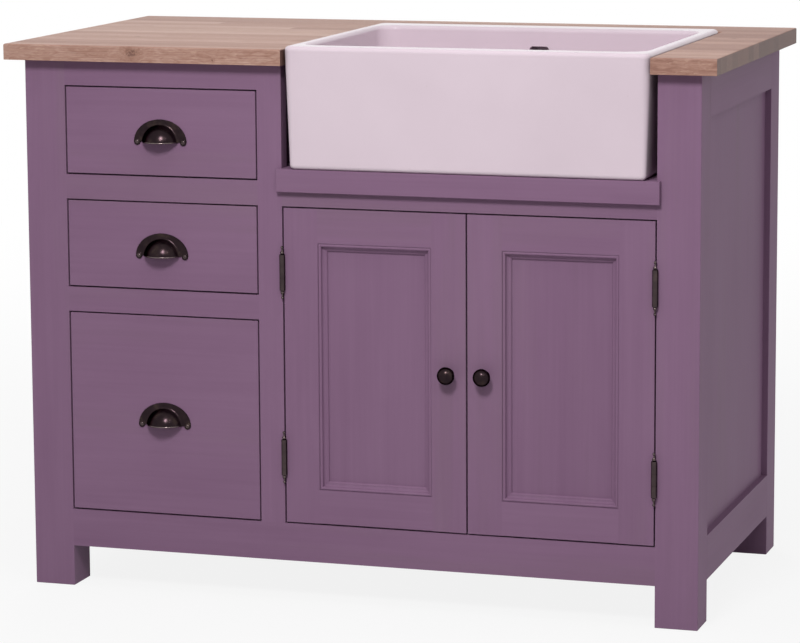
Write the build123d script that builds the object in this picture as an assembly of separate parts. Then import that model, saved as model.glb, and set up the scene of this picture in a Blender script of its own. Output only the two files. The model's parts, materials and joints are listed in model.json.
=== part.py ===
from build123d import *

import os
from math import radians, tan

# A free-standing kitchen unit: three drawers at the left, and at the right a
# farmhouse sink over a cupboard with two doors. Millimetres. X runs to the
# right seen from the front, Y to the back, Z up. Every piece is drawn with
# x = 0 at the middle, y = 0 at the front of the face frame and z = 0 on the
# floor, and is moved at the end so that the origin lies under the middle.

# Overall sizes
CARCASS_WIDTH = 1125.0
CARCASS_DEPTH = 600.0
WORK_HEIGHT = 900.0

# Legs and face frame
LEG_WIDTH = 69.0
LEG_DEPTH = 65.0
FOOT_HEIGHT = 67.5
BOTTOM_RAIL_HEIGHT = 62.0
RAIL_HEIGHT = 40.0
RAIL_DEPTH = 45.0
FRAME_THICKNESS = 25.0
STILE_WIDTH = 41.0
ARRIS = 0.6

# Openings of the face frame and the gap round each drawer and door
TOP_RAIL_HEIGHT = 41.0
SHALLOW_OPENING = 145.5
SINK_RAIL_HEIGHT = 24.0
REVEAL = 2.5

# Drawers
FRONT_THICKNESS = 22.0
DRAWER_BACK_SPACE = 92.0
DRAWER_SIDE = 14.0
DRAWER_BACK = 14.0
DRAWER_BASE = 6.0
BASE_RAISE = 12.0
HOUSING_DEPTH = 6.0
SIDE_HEADROOM = 3.0
SLIDING_CLEARANCE = 0.3
DOVETAIL_LENGTH = 13.0
DOVETAIL_PITCH = 36.0
DOVETAIL_ROOT = 0.56
DOVETAIL_SLOPE = 1 / 6
STOP_LENGTH = 50.0
STOP_WIDTH = 18.0
STOP_THICKNESS = 10.0
STOP_CATCH = 6.0

# Strips beside and under the drawers
RUNNER_WIDTH = 20.0
GUIDE_WIDTH = 18.0
GUIDE_HEIGHT = 18.0
GUIDE_CLEARANCE = 1.0

# Doors
DOOR_THICKNESS = 22.0
DOOR_STILE = 56.5
DOOR_RAIL = 55.0
DOOR_PANEL_SINK = 12.0
DOOR_PANEL_THICKNESS = 6.0
PANEL_GROOVE = 9.0
PANEL_PLAY = 1.0

# Moulding round the door panels
MOULDING_WIDTH = 14.0
MOULDING_QUIRK = 0.9
MOULDING_BEAD = 5.0
MOULDING_LIP = 3.6

# Levels of the moulding, as shares of the panel's sink
BEAD_LEVEL = 0.03
QUIRK_LEVEL = 0.15
LEDGE_LEVEL = 0.27
COVE_LEVEL = 0.68
LIP_LEVEL = 0.75
TOE_LEVEL = 0.93

# Carcass boards
SIDE_RAIL_HEIGHT = 71.5
SIDE_RAIL_THICKNESS = 28.0
SIDE_PANEL_SINK = 10.0
SIDE_PANEL_THICKNESS = 9.0
PARTITION_THICKNESS = 18.0
FLOOR_THICKNESS = 18.0
BACK_RAIL_THICKNESS = 25.0
BACK_RAIL_HEIGHT = 70.0
BACK_PANEL_THICKNESS = 8.0
BACK_PANEL_LAP = 30.0
PIPE_GAP_WIDTH = 420.0
PIPE_GAP_HEIGHT = 300.0
PIPE_GAP_RAISE = 90.0
PIPE_GAP_CORNER = 20.0

# Worktop and the angles that hold it
TOP_THICKNESS = 26.0
TOP_SIDE_OVERHANG = 28.0
TOP_FRONT_OVERHANG = 21.5
TOP_BACK_OVERHANG = 3.5
TOP_EDGE_RADIUS = 2.5
ANGLE_LEG = 30.0
ANGLE_WIDTH = 24.0
ANGLE_THICKNESS = 2.0

# Sink
SINK_WIDTH = 595.0
SINK_HEIGHT = 197.0
SINK_SIDE_SPACE = 9.75
SINK_BACK_SPACE = 80.0
SINK_PROUD = 5.0
SINK_OVERHANG = 18.0
SINK_GAP = 2.5
SINK_DRAFT = 2.0
SINK_CORNER = 14.0
SINK_FOOT_RADIUS = 8.0
SINK_RIM_RADIUS = 7.0
SINK_FRONT_WALL = 38.0
SINK_BACK_WALL = 55.0
SINK_SIDE_WALL = 20.0
SINK_FLOOR = 25.0
BOWL_RADIUS = 32.0
WASTE_RADIUS = 45.0
WASTE_SEAT_RADIUS = 57.0
WASTE_SEAT_DEPTH = 3.0
OVERFLOW_WIDTH = 34.0
OVERFLOW_HEIGHT = 12.0
OVERFLOW_DROP = 31.0
CHANNEL_WIDTH = 60.0
CHANNEL_DEPTH = 15.0
CHANNEL_WALL = 16.0
DUCT_HEIGHT = 8.0

# Board and battens that carry the sink
SILL_HEIGHT = 36.5
SILL_DEPTH = 60.0
SILL_PROUD = 11.0
SILL_LAP = 6.0
BEARER_SEAT = 33.0
BEARER_HEIGHT = 40.0

# Butt hinges with finials
KNUCKLE_RADIUS = 4.5
PIN_RADIUS = 2.5
PIN_CLEARANCE = 0.05
HINGE_HEIGHT = 58.0
KNUCKLES = 3
KNUCKLE_GAP = 0.3
LEAF_THICKNESS = 2.0
LEAF_WIDTH = 20.0
LEAF_GAP = 0.3
HINGE_PROUD = 0.3
HINGE_FROM_TOP = 104.0
HINGE_FROM_BOTTOM = 107.0
FINIAL_HEIGHT = 14.0
FINIAL_FOOT_RADIUS = 3.1
FINIAL_NECK_RADIUS = 1.2
FINIAL_NECK_LEVEL = 8.5
FINIAL_HEAD_RADIUS = 1.9
FINIAL_HEAD_LEVEL = 10.5

# Knobs
KNOB_RADIUS = 14.25
KNOB_REACH = 28.0
KNOB_BASE_RADIUS = 9.0
KNOB_BASE_HEIGHT = 1.6
KNOB_NECK_RADIUS = 5.8
KNOB_NECK_LEVEL = 8.0
KNOB_UNDER_RADIUS = 11.5
KNOB_UNDER_LEVEL = 12.5
KNOB_EDGE_LEVEL = 16.5
KNOB_SCREW_RADIUS = 2.0
KNOB_SCREW_HEAD = 4.4
KNOB_SCREW_DEPTH = 12.0
KNOB_HOLE_CLEARANCE = 0.2

# Cup pulls
PULL_WIDTH = 90.5
PULL_HEIGHT = 42.0
PULL_REACH = 25.0
PULL_PLATE = 2.0
PULL_EAR_RADIUS = 5.5
PULL_SCREW_RADIUS = 3.2
HOOD_WIDTH = 67.0
HOOD_HEIGHT = 26.0
HOOD_WALL = 1.8
SCREW_DOME = 0.45

# Magnetic catches and their plates on the doors
CATCH_WIDTH = 46.0
CATCH_HEIGHT = 14.0
CATCH_DEPTH = 15.0
CATCH_FROM_MIDDLE = 62.0
STRIKE_WIDTH = 38.0
STRIKE_HEIGHT = 20.0
STRIKE_THICKNESS = 1.5
STRIKE_GAP = 0.3

# Places that follow from the sizes above
LEFT = -CARCASS_WIDTH / 2
RIGHT = CARCASS_WIDTH / 2
TOP_UNDERSIDE = WORK_HEIGHT - TOP_THICKNESS
DRAWER_LEFT = LEFT + LEG_WIDTH
DOOR_RIGHT = RIGHT - LEG_WIDTH
DOOR_LEFT = DOOR_RIGHT - SINK_WIDTH - 2 * SINK_SIDE_SPACE
DOOR_MIDDLE = (DOOR_LEFT + DOOR_RIGHT) / 2
DRAWER_RIGHT = DOOR_LEFT - STILE_WIDTH
DRAWER_MIDDLE = (DRAWER_LEFT + DRAWER_RIGHT) / 2
FLOOR_LEVEL = FOOT_HEIGHT + BOTTOM_RAIL_HEIGHT
FRAME_HEIGHT = TOP_UNDERSIDE - TOP_RAIL_HEIGHT - FLOOR_LEVEL
DEEP_OPENING = FRAME_HEIGHT - 2 * (SHALLOW_OPENING + RAIL_HEIGHT)
DRAWER_OPENING_HEIGHTS = (DEEP_OPENING, SHALLOW_OPENING, SHALLOW_OPENING)
DRAWER_NAMES = ("bottom_drawer", "middle_drawer", "top_drawer")
DRAWER_BOTTOMS = tuple(
    FLOOR_LEVEL + sum(DRAWER_OPENING_HEIGHTS[:i]) + i * RAIL_HEIGHT for i in range(3)
)
DRAWER_TOPS = tuple(z + h for z, h in zip(DRAWER_BOTTOMS, DRAWER_OPENING_HEIGHTS))
INNER_SIDE = CARCASS_WIDTH / 2 - SIDE_RAIL_THICKNESS
REAR_LEG_FRONT = CARCASS_DEPTH - LEG_DEPTH
BACK_FACE = CARCASS_DEPTH - BACK_RAIL_THICKNESS
INNER_BACK = BACK_FACE - BACK_PANEL_THICKNESS
DRAWER_LENGTH = INNER_BACK - DRAWER_BACK_SPACE
SINK_TOP = WORK_HEIGHT + SINK_PROUD
SINK_BOTTOM = SINK_TOP - SINK_HEIGHT
SINK_BACK = INNER_BACK - SINK_BACK_SPACE
SINK_DEPTH = SINK_BACK + SINK_OVERHANG
SINK_TAPER = SINK_HEIGHT * tan(radians(SINK_DRAFT))
SILL_BOTTOM = SINK_BOTTOM - SILL_HEIGHT
DOOR_TOP = SILL_BOTTOM - SINK_RAIL_HEIGHT
HINGE_Y = -KNUCKLE_RADIUS - HINGE_PROUD
HINGE_X = (DOOR_LEFT + REVEAL / 2, DOOR_RIGHT - REVEAL / 2)
HINGE_Z = (
    FLOOR_LEVEL + REVEAL + HINGE_FROM_BOTTOM,
    DOOR_TOP - REVEAL - HINGE_FROM_TOP,
)
FRONT_REACH = max(KNOB_REACH, PULL_REACH, SINK_OVERHANG, TOP_FRONT_OVERHANG)
TO_ORIGIN = Pos(0, (FRONT_REACH - CARCASS_DEPTH - TOP_BACK_OVERHANG) / 2, 0)


def block(x0, x1, y0, y1, z0, z1):
    """A rectangular piece between two opposite corners."""
    centre = Pos((x0 + x1) / 2, (y0 + y1) / 2, (z0 + z1) / 2)
    return centre * Box(abs(x1 - x0), abs(y1 - y0), abs(z1 - z0))


def facing_front(outline, y, thickness):
    """An outline seen from the front, from y forwards by its thickness."""
    return Pos(0, y, 0) * extrude(Rot(90, 0, 0) * outline, thickness)


def turned(line):
    """A turned piece from a half outline on XY, with its axis along Z."""
    return revolve(Plane.XZ * make_face(line), Axis.Z)


def front_edges(piece):
    return piece.faces().sort_by(Axis.Y)[0].edges()


def save(name, *pieces):
    """Writes one node, moved so that the origin lies under the middle."""
    solids = [solid for piece in pieces for solid in (TO_ORIGIN * piece).solids()]
    shape = solids[0] if len(solids) == 1 else Compound(children=solids)
    export_step(shape, f"parts/{name}.step")


# Legs and sides


def side_panel(side, play):
    """A side's panel with its edges in the grooves, or the grooves when there is no play."""
    x_face = side * (CARCASS_WIDTH / 2 - SIDE_PANEL_SINK)
    reach = PANEL_GROOVE - play
    return block(
        x_face,
        x_face - side * SIDE_PANEL_THICKNESS,
        LEG_DEPTH - reach,
        REAR_LEG_FRONT + reach,
        FOOT_HEIGHT + SIDE_RAIL_HEIGHT - reach,
        TOP_UNDERSIDE - SIDE_RAIL_HEIGHT + reach,
    )


def leg(side, y_front):
    """A post from the floor to the worktop, grooved for its side's panel."""
    x_outer = side * CARCASS_WIDTH / 2
    x_inner = x_outer - side * LEG_WIDTH
    post = block(x_outer, x_inner, y_front, y_front + LEG_DEPTH, 0, TOP_UNDERSIDE)
    uprights = post.edges().filter_by(Axis.Z).group_by(Axis.X)
    post = chamfer(uprights[-1 if side > 0 else 0], ARRIS)
    post = chamfer(post.faces().sort_by(Axis.Z)[0].edges(), ARRIS)
    return post - side_panel(side, play=0)


def side_rail(side, z0):
    """A rail between the front and rear legs of one side."""
    x_outer = side * CARCASS_WIDTH / 2
    x_inner = x_outer - side * SIDE_RAIL_THICKNESS
    rail = block(x_outer, x_inner, LEG_DEPTH, REAR_LEG_FRONT, z0, z0 + SIDE_RAIL_HEIGHT)
    return rail - side_panel(side, play=0)


def make_sides():
    save("leg_front_left", leg(-1, 0))
    save("leg_front_right", leg(1, 0) - hinge_housings(1, on_door=False))
    save("leg_rear_left", leg(-1, REAR_LEG_FRONT))
    save("leg_rear_right", leg(1, REAR_LEG_FRONT))
    save("side_panel_left", side_panel(-1, PANEL_PLAY))
    save("side_panel_right", side_panel(1, PANEL_PLAY))
    save("side_bottom_rails", *[side_rail(side, FOOT_HEIGHT) for side in (-1, 1)])
    top_rail_z = TOP_UNDERSIDE - SIDE_RAIL_HEIGHT
    save("side_top_rails", *[side_rail(side, top_rail_z) for side in (-1, 1)])


# Face frame


def frame_rail(x0, x1, z0, z1, depth):
    """A rail of the face frame, its front flush with the legs."""
    return block(x0, x1, 0, depth, z0, z1)


def sink_sill():
    """The board under the sink's front: its lip laps over the frame at both ends."""
    body = block(DOOR_LEFT, DOOR_RIGHT, 0, SILL_DEPTH, SILL_BOTTOM, SINK_BOTTOM)
    x0 = DOOR_LEFT - SILL_LAP
    x1 = DOOR_RIGHT + SILL_LAP
    lip = block(x0, x1, -SILL_PROUD, 0, SILL_BOTTOM, SINK_BOTTOM)
    return body + chamfer(front_edges(lip), ARRIS)


def make_face_frame():
    x0 = DRAWER_LEFT
    x1 = DRAWER_RIGHT
    save("front_top_rail", frame_rail(x0, x1, DRAWER_TOPS[2], TOP_UNDERSIDE, RAIL_DEPTH))
    rails = [frame_rail(x0, x1, z, z + RAIL_HEIGHT, RAIL_DEPTH) for z in DRAWER_TOPS[:2]]
    save("drawer_rails", *rails)
    stile = block(x1, DOOR_LEFT, 0, FRAME_THICKNESS, FLOOR_LEVEL, TOP_UNDERSIDE)
    save("centre_stile", stile - hinge_housings(0, on_door=False))
    low_rail = frame_rail(x0, DOOR_RIGHT, FOOT_HEIGHT, FLOOR_LEVEL, FRAME_THICKNESS)
    save("front_bottom_rail", low_rail)
    save("sink_rail", frame_rail(DOOR_LEFT, DOOR_RIGHT, DOOR_TOP, SILL_BOTTOM, RAIL_DEPTH))
    save("sink_sill", sink_sill())


# Carcass boards


def partition():
    """The upright board between the drawers and the cupboard."""
    x1 = DRAWER_RIGHT + PARTITION_THICKNESS
    return block(DRAWER_RIGHT, x1, FRAME_THICKNESS, INNER_BACK, FLOOR_LEVEL, TOP_UNDERSIDE)


def floor_panel():
    """The bottom board, notched round the four legs."""
    z0 = FLOOR_LEVEL - FLOOR_THICKNESS
    board = block(-INNER_SIDE, INNER_SIDE, FRAME_THICKNESS, INNER_BACK, z0, FLOOR_LEVEL)
    for side in (-1, 1):
        x_outer = side * CARCASS_WIDTH / 2
        for y in (0, REAR_LEG_FRONT):
            x_inner = x_outer - side * LEG_WIDTH
            board -= block(x_outer, x_inner, y, y + LEG_DEPTH, z0, FLOOR_LEVEL)
    return board


def back_panel():
    """The back, with a gap behind the cupboard for the pipes."""
    z0 = FLOOR_LEVEL - BACK_PANEL_LAP
    panel = block(DRAWER_LEFT, DOOR_RIGHT, INNER_BACK, BACK_FACE, z0, TOP_UNDERSIDE)
    middle = FLOOR_LEVEL + PIPE_GAP_RAISE + PIPE_GAP_HEIGHT / 2
    outline = RectangleRounded(PIPE_GAP_WIDTH, PIPE_GAP_HEIGHT, PIPE_GAP_CORNER)
    gap = facing_front(outline, BACK_FACE, BACK_PANEL_THICKNESS)
    return panel - Pos(DOOR_MIDDLE, 0, middle) * gap


def back_rail(z0, z1):
    return block(DRAWER_LEFT, DOOR_RIGHT, BACK_FACE, CARCASS_DEPTH, z0, z1)


def make_carcass():
    save("partition", partition())
    save("floor_panel", floor_panel())
    save("back_panel", back_panel())
    low_rail = back_rail(FOOT_HEIGHT, FLOOR_LEVEL)
    high_rail = back_rail(TOP_UNDERSIDE - BACK_RAIL_HEIGHT, TOP_UNDERSIDE)
    save("back_rails", low_rail, high_rail)


# Runners, guides and kickers


def strip_pair(z0, z1):
    """Two strips along the sides of the drawers, behind the front rails."""
    left_x1 = DRAWER_LEFT + RUNNER_WIDTH
    right_x0 = DRAWER_RIGHT - RUNNER_WIDTH
    left = block(DRAWER_LEFT, left_x1, RAIL_DEPTH, INNER_BACK, z0, z1)
    right = block(right_x0, DRAWER_RIGHT, RAIL_DEPTH, INNER_BACK, z0, z1)
    return [left, right]


def side_guide(level, drop):
    """A batten between the left legs, thicker above the level that the drawer slides on."""
    x0 = DRAWER_LEFT - GUIDE_WIDTH
    x1 = DRAWER_LEFT + REVEAL - GUIDE_CLEARANCE
    guide = block(x0, x1, LEG_DEPTH, REAR_LEG_FRONT, level, level + GUIDE_HEIGHT)
    if drop > 0:
        guide += block(x0, DRAWER_LEFT, LEG_DEPTH, REAR_LEG_FRONT, level - drop, level)
    return guide


def make_runners():
    """The bottom drawer slides on the floor, the other two on runners."""
    strips = [side_guide(FLOOR_LEVEL, drop=0)]
    for level in DRAWER_BOTTOMS[1:]:
        strips += strip_pair(level - RAIL_HEIGHT, level)
        strips.append(side_guide(level, drop=RAIL_HEIGHT))
    save("drawer_runners", *strips)
    save("drawer_kickers", *strip_pair(DRAWER_TOPS[2], TOP_UNDERSIDE))


# Sink, drawn with its middle at x = y = 0 and its rim at z = 0


def bowl_middle():
    """How far the middle of the bowl lies in front of or behind the sink's."""
    return (SINK_FRONT_WALL - SINK_BACK_WALL) / 2


def sink_shell():
    """The tapered outside and the bowl, with a rounded rim between them."""
    outline = RectangleRounded(SINK_WIDTH, SINK_DEPTH, SINK_CORNER)
    outer = extrude(outline, -SINK_HEIGHT, taper=SINK_DRAFT)
    outer = fillet(outer.faces().sort_by(Axis.Z)[0].edges(), SINK_FOOT_RADIUS)
    bowl_width = SINK_WIDTH - 2 * SINK_SIDE_WALL
    bowl_length = SINK_DEPTH - SINK_FRONT_WALL - SINK_BACK_WALL
    outline = RectangleRounded(bowl_width, bowl_length, BOWL_RADIUS)
    bowl = extrude(outline, SINK_FLOOR - SINK_HEIGHT)
    bowl = fillet(bowl.faces().sort_by(Axis.Z)[0].edges(), BOWL_RADIUS)
    shell = outer - Pos(0, bowl_middle(), 0) * bowl
    return fillet(shell.faces().sort_by(Axis.Z)[-1].edges(), SINK_RIM_RADIUS)


def waste_hole():
    """The outlet under the bowl's middle, with a shallow seat for a flange."""
    floor_top = SINK_FLOOR - SINK_HEIGHT
    hole = Cylinder(WASTE_RADIUS, 2 * SINK_FLOOR)
    seat = Cylinder(WASTE_SEAT_RADIUS, 2 * WASTE_SEAT_DEPTH)
    return Pos(0, bowl_middle(), floor_top) * (hole + seat)


def overflow_way():
    """The slot high in the bowl's back wall and the channel from it to the outlet."""
    bowl_back = SINK_DEPTH / 2 - SINK_BACK_WALL
    channel_front = bowl_back + CHANNEL_WALL
    channel_back = channel_front + CHANNEL_DEPTH
    slot_z = -OVERFLOW_DROP - OVERFLOW_HEIGHT / 2
    duct_z = (SINK_FLOOR - DUCT_HEIGHT) / 2 - SINK_HEIGHT
    slot = facing_front(
        SlotOverall(OVERFLOW_WIDTH, OVERFLOW_HEIGHT),
        channel_back,
        channel_back - bowl_back + SINK_RIM_RADIUS,
    )
    half = CHANNEL_WIDTH / 2
    channel = block(-half, half, channel_front, channel_back, duct_z, slot_z + OVERFLOW_HEIGHT)
    half = OVERFLOW_WIDTH / 2
    duct = block(-half, half, bowl_middle(), channel_back, duct_z, duct_z + DUCT_HEIGHT)
    return Pos(0, 0, slot_z) * slot + channel + duct


def sink_bearers():
    """Battens under the sink's two sides and its back."""
    z0 = SINK_BOTTOM - BEARER_HEIGHT
    foot = SINK_WIDTH / 2 - SINK_TAPER - BEARER_SEAT
    x_left = DOOR_MIDDLE - foot
    x_right = DOOR_MIDDLE + foot
    y_rear = SINK_BACK - SINK_TAPER - BEARER_SEAT
    y_end = SINK_BACK
    x_partition = DRAWER_RIGHT + PARTITION_THICKNESS
    y_right = max(SILL_DEPTH, LEG_DEPTH)
    left = block(x_partition, x_left, SILL_DEPTH, y_end, z0, SINK_BOTTOM)
    right = block(x_right, INNER_SIDE, y_right, REAR_LEG_FRONT, z0, SINK_BOTTOM)
    rear = block(x_left, x_right, y_rear, y_end, z0, SINK_BOTTOM)
    return [left, right, rear]


def make_sink():
    sink = sink_shell() - waste_hole() - overflow_way()
    place = Pos(DOOR_MIDDLE, SINK_DEPTH / 2 - SINK_OVERHANG, SINK_TOP)
    save("sink", place * sink)
    save("sink_bearers", *sink_bearers())


# Worktop


def worktop():
    """One board with a cut-out, open to the front, where the sink stands."""
    x_edge = CARCASS_WIDTH / 2 + TOP_SIDE_OVERHANG
    y_back = CARCASS_DEPTH + TOP_BACK_OVERHANG
    board = block(-x_edge, x_edge, -TOP_FRONT_OVERHANG, y_back, TOP_UNDERSIDE, WORK_HEIGHT)
    half = SINK_WIDTH / 2 + SINK_GAP
    x0 = DOOR_MIDDLE - half
    x1 = DOOR_MIDDLE + half
    y_cut = SINK_BACK + SINK_GAP
    board -= block(x0, x1, -TOP_FRONT_OVERHANG, y_cut, TOP_UNDERSIDE, WORK_HEIGHT)
    return fillet(board.faces().sort_by(Axis.Z)[-1].edges(), TOP_EDGE_RADIUS)


def angle_bracket(x, y, turn):
    """A steel angle: one leg under the worktop, the other on the board behind it."""
    half = ANGLE_WIDTH / 2
    plate_z = TOP_UNDERSIDE - ANGLE_THICKNESS
    foot_z = TOP_UNDERSIDE - ANGLE_LEG
    upper = block(0, ANGLE_LEG, -half, half, plate_z, TOP_UNDERSIDE)
    lower = block(0, ANGLE_THICKNESS, -half, half, foot_z, TOP_UNDERSIDE)
    return Pos(x, y, 0) * Rot(0, 0, turn) * (upper + lower)


def make_worktop():
    save("worktop", worktop())
    brackets = []
    for share in (1 / 4, 3 / 4):
        y = LEG_DEPTH + share * (REAR_LEG_FRONT - LEG_DEPTH)
        brackets.append(angle_bracket(-INNER_SIDE, y, 0))
        brackets.append(angle_bracket(INNER_SIDE, y, 180))
    for x in (DRAWER_MIDDLE, DOOR_MIDDLE):
        brackets.append(angle_bracket(x, INNER_BACK, -90))
    save("worktop_brackets", *brackets)


# Drawers


def dovetails(x0, x1, z0, z1):
    """The tails on a drawer side's front end, wider at their tips."""
    count = max(2, round((z1 - z0) / DOVETAIL_PITCH))
    pitch = (z1 - z0) / count
    root = pitch * DOVETAIL_ROOT / 2
    tip = root + DOVETAIL_LENGTH * DOVETAIL_SLOPE
    y_tip = FRONT_THICKNESS - DOVETAIL_LENGTH
    plane = Plane(origin=(x0, 0, 0), x_dir=(0, 1, 0), z_dir=(1, 0, 0))
    tails = []
    for i in range(count):
        z = z0 + (i + 0.5) * pitch
        near = [(FRONT_THICKNESS, z - root), (FRONT_THICKNESS, z + root)]
        far = [(y_tip, z + tip), (y_tip, z - tip)]
        tails.append(extrude(plane * Polygon(*near, *far, align=None), x1 - x0))
    return tails


def drawer_stop(y, z_back_top):
    """A turn-button on the back's inner face that catches behind the rail above."""
    z_top = z_back_top + SIDE_HEADROOM + STOP_CATCH
    plate = facing_front(SlotOverall(STOP_LENGTH, STOP_WIDTH, rotation=90), y, STOP_THICKNESS)
    return Pos(DRAWER_MIDDLE, 0, z_top - STOP_LENGTH / 2) * plate


def make_drawer(number):
    """A box with dovetailed front corners, housed back and grooved base."""
    name = DRAWER_NAMES[number]
    low = DRAWER_BOTTOMS[number]
    high = DRAWER_TOPS[number]
    z0 = low + SLIDING_CLEARANCE
    z1 = high - SIDE_HEADROOM
    x0 = DRAWER_LEFT + REVEAL
    x1 = DRAWER_RIGHT - REVEAL
    inner = (x0 + DRAWER_SIDE, x1 - DRAWER_SIDE)
    housed = (inner[0] - HOUSING_DEPTH, inner[1] + HOUSING_DEPTH)

    base_z = z0 + BASE_RAISE
    base_top = base_z + DRAWER_BASE
    base = block(*housed, FRONT_THICKNESS - HOUSING_DEPTH, DRAWER_LENGTH, base_z, base_top)
    back_y = DRAWER_LENGTH - DRAWER_BACK - HOUSING_DEPTH
    back = block(*housed, back_y, back_y + DRAWER_BACK, base_top, z1)
    front = block(x0, x1, 0, FRONT_THICKNESS, low + REVEAL, high - REVEAL)
    front = chamfer(front_edges(front), ARRIS) - base

    sides = []
    for edges in ((x0, inner[0]), (inner[1], x1)):
        side = block(*edges, FRONT_THICKNESS, DRAWER_LENGTH, z0, z1)
        for tail in dovetails(*edges, z0, z1):
            side += tail
            front -= tail
        sides.append(side - base - back)

    pull_place = Pos(DRAWER_MIDDLE, 0, (low + high) / 2)
    save(f"{name}_front", front)
    save(f"{name}_sides", *sides)
    save(f"{name}_back", back)
    save(f"{name}_base", base)
    save(f"{name}_stop", drawer_stop(back_y, z1))
    save(f"{name}_pull", *[pull_place * piece for piece in cup_pull()])


# Knobs, pulls and their screws


def dome(radius, z_ring, z_tip):
    """The outline of a ball's cap, from a ring to a tip on the axis."""
    rise = z_tip - z_ring
    ball = (radius**2 + rise**2) / (2 * rise)
    return RadiusArc((radius, z_ring), (0, z_tip), -ball)


def screw_head(radius):
    """A low domed head that stands on z = 0."""
    height = radius * SCREW_DOME
    with BuildLine() as outline:
        Line((0, 0), (radius, 0))
        dome(radius, 0, height)
        Line((0, height), (0, 0))
    return turned(outline.line)


def hood(shrink, z_low):
    """The part of a ball that lies in front of y = 0 and above z_low."""
    # The ball's centre lies behind the plate and below the ears' line, so that its
    # cap is as wide, as high and as deep as the hood
    half = HOOD_WIDTH / 2
    ring = (half**2 + HOOD_HEIGHT**2) / (2 * HOOD_HEIGHT)
    back = (half**2 - PULL_REACH**2) / (2 * PULL_REACH)
    radius = (ring**2 + back**2) ** 0.5
    ball = Pos(0, back, HOOD_HEIGHT - ring) * Sphere(radius - shrink)
    w = PULL_WIDTH
    return ball & block(-w, w, -w, 0, z_low, w)


def cup_pull():
    """A half-moon plate with two ears, an open hood in front of it, and two screw heads."""
    rise = PULL_HEIGHT - PULL_EAR_RADIUS
    half = PULL_WIDTH / 2
    ears = (PULL_EAR_RADIUS - half, half - PULL_EAR_RADIUS)
    moon = Ellipse(half, rise) & Pos(0, rise / 2) * Rectangle(PULL_WIDTH, rise)
    for x in ears:
        moon += Pos(x, 0) * Circle(PULL_EAR_RADIUS)
    plate = facing_front(moon, 0, PULL_PLATE)
    body = plate + hood(0, 0) - hood(HOOD_WALL, -PULL_HEIGHT)
    screw = Rot(90, 0, 0) * screw_head(PULL_SCREW_RADIUS)
    screws = [Pos(x, -PULL_PLATE, 0) * screw for x in ears]
    drop = Pos(0, 0, PULL_EAR_RADIUS - PULL_HEIGHT / 2)
    return [drop * piece for piece in (body, *screws)]


def knob():
    """A turned knob on a small base, with a blind hole for its screw."""
    hole = KNOB_SCREW_RADIUS
    with BuildLine() as outline:
        Polyline((hole, 0), (KNOB_BASE_RADIUS, 0), (KNOB_BASE_RADIUS, KNOB_BASE_HEIGHT))
        Line((KNOB_BASE_RADIUS, KNOB_BASE_HEIGHT), (KNOB_NECK_RADIUS, KNOB_NECK_LEVEL))
        Line((KNOB_NECK_RADIUS, KNOB_NECK_LEVEL), (KNOB_UNDER_RADIUS, KNOB_UNDER_LEVEL))
        Line((KNOB_UNDER_RADIUS, KNOB_UNDER_LEVEL), (KNOB_RADIUS, KNOB_EDGE_LEVEL))
        dome(KNOB_RADIUS, KNOB_EDGE_LEVEL, KNOB_REACH)
        Polyline((0, KNOB_REACH), (0, KNOB_SCREW_DEPTH), (hole, KNOB_SCREW_DEPTH), (hole, 0))
    return turned(outline.line)


def knob_screw():
    """The screw through the door, its head on the back."""
    length = DOOR_THICKNESS + KNOB_SCREW_DEPTH
    shank = Pos(0, 0, KNOB_SCREW_DEPTH - length / 2) * Cylinder(KNOB_SCREW_RADIUS, length)
    head = Pos(0, 0, -DOOR_THICKNESS) * Rot(180, 0, 0) * screw_head(KNOB_SCREW_HEAD)
    return shank + head


# Hinges: hand 0 is the left door, hand 1 the right one


def leaf_direction(hand, on_door):
    """The way along X from the hinge's axis into the door or into the frame."""
    into_door = 1 if hand == 0 else -1
    return into_door if on_door else -into_door


def leaf_plate(hand, z, on_door):
    """A leaf's flat plate, between the door and the frame."""
    way = leaf_direction(hand, on_door)
    x_near = HINGE_X[hand] + way * LEAF_GAP / 2
    half = HINGE_HEIGHT / 2
    return block(x_near, x_near + way * LEAF_THICKNESS, 0, LEAF_WIDTH, z - half, z + half)


def hinge_housings(hand, on_door):
    """The shallow housings of both leaves in one edge."""
    low, high = [leaf_plate(hand, z, on_door) for z in HINGE_Z]
    return low + high


def hinge_leaf(hand, z, on_door):
    """A plate with its own knuckles: the frame's leaf has the outer ones."""
    way = leaf_direction(hand, on_door)
    x_near = HINGE_X[hand] + way * LEAF_GAP / 2
    x_far = x_near + way * LEAF_THICKNESS
    step = HINGE_HEIGHT / KNUCKLES
    leaf = leaf_plate(hand, z, on_door)
    for i in range(1 if on_door else 0, KNUCKLES, 2):
        low = z - HINGE_HEIGHT / 2 + i * step
        high = low + step
        low += KNUCKLE_GAP / 2 if i > 0 else 0
        high -= KNUCKLE_GAP / 2 if i < KNUCKLES - 1 else 0
        knuckle = Cylinder(KNUCKLE_RADIUS, high - low)
        leaf += Pos(HINGE_X[hand], HINGE_Y, (low + high) / 2) * knuckle
        leaf += block(x_near, x_far, HINGE_Y, 0, low, high)
    bore = Cylinder(PIN_RADIUS + PIN_CLEARANCE, HINGE_HEIGHT)
    return leaf - Pos(HINGE_X[hand], HINGE_Y, z) * bore


def finial(end, way):
    """The half outline of a pin's end, from the axis to the barrel, with a pointed head."""
    outline = [
        (0, FINIAL_HEIGHT),
        (FINIAL_HEAD_RADIUS, FINIAL_HEAD_LEVEL),
        (FINIAL_NECK_RADIUS, FINIAL_NECK_LEVEL),
        (FINIAL_FOOT_RADIUS, 0),
        (PIN_RADIUS, 0),
    ]
    return [(x, way * (end + level)) for x, level in outline]


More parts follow.
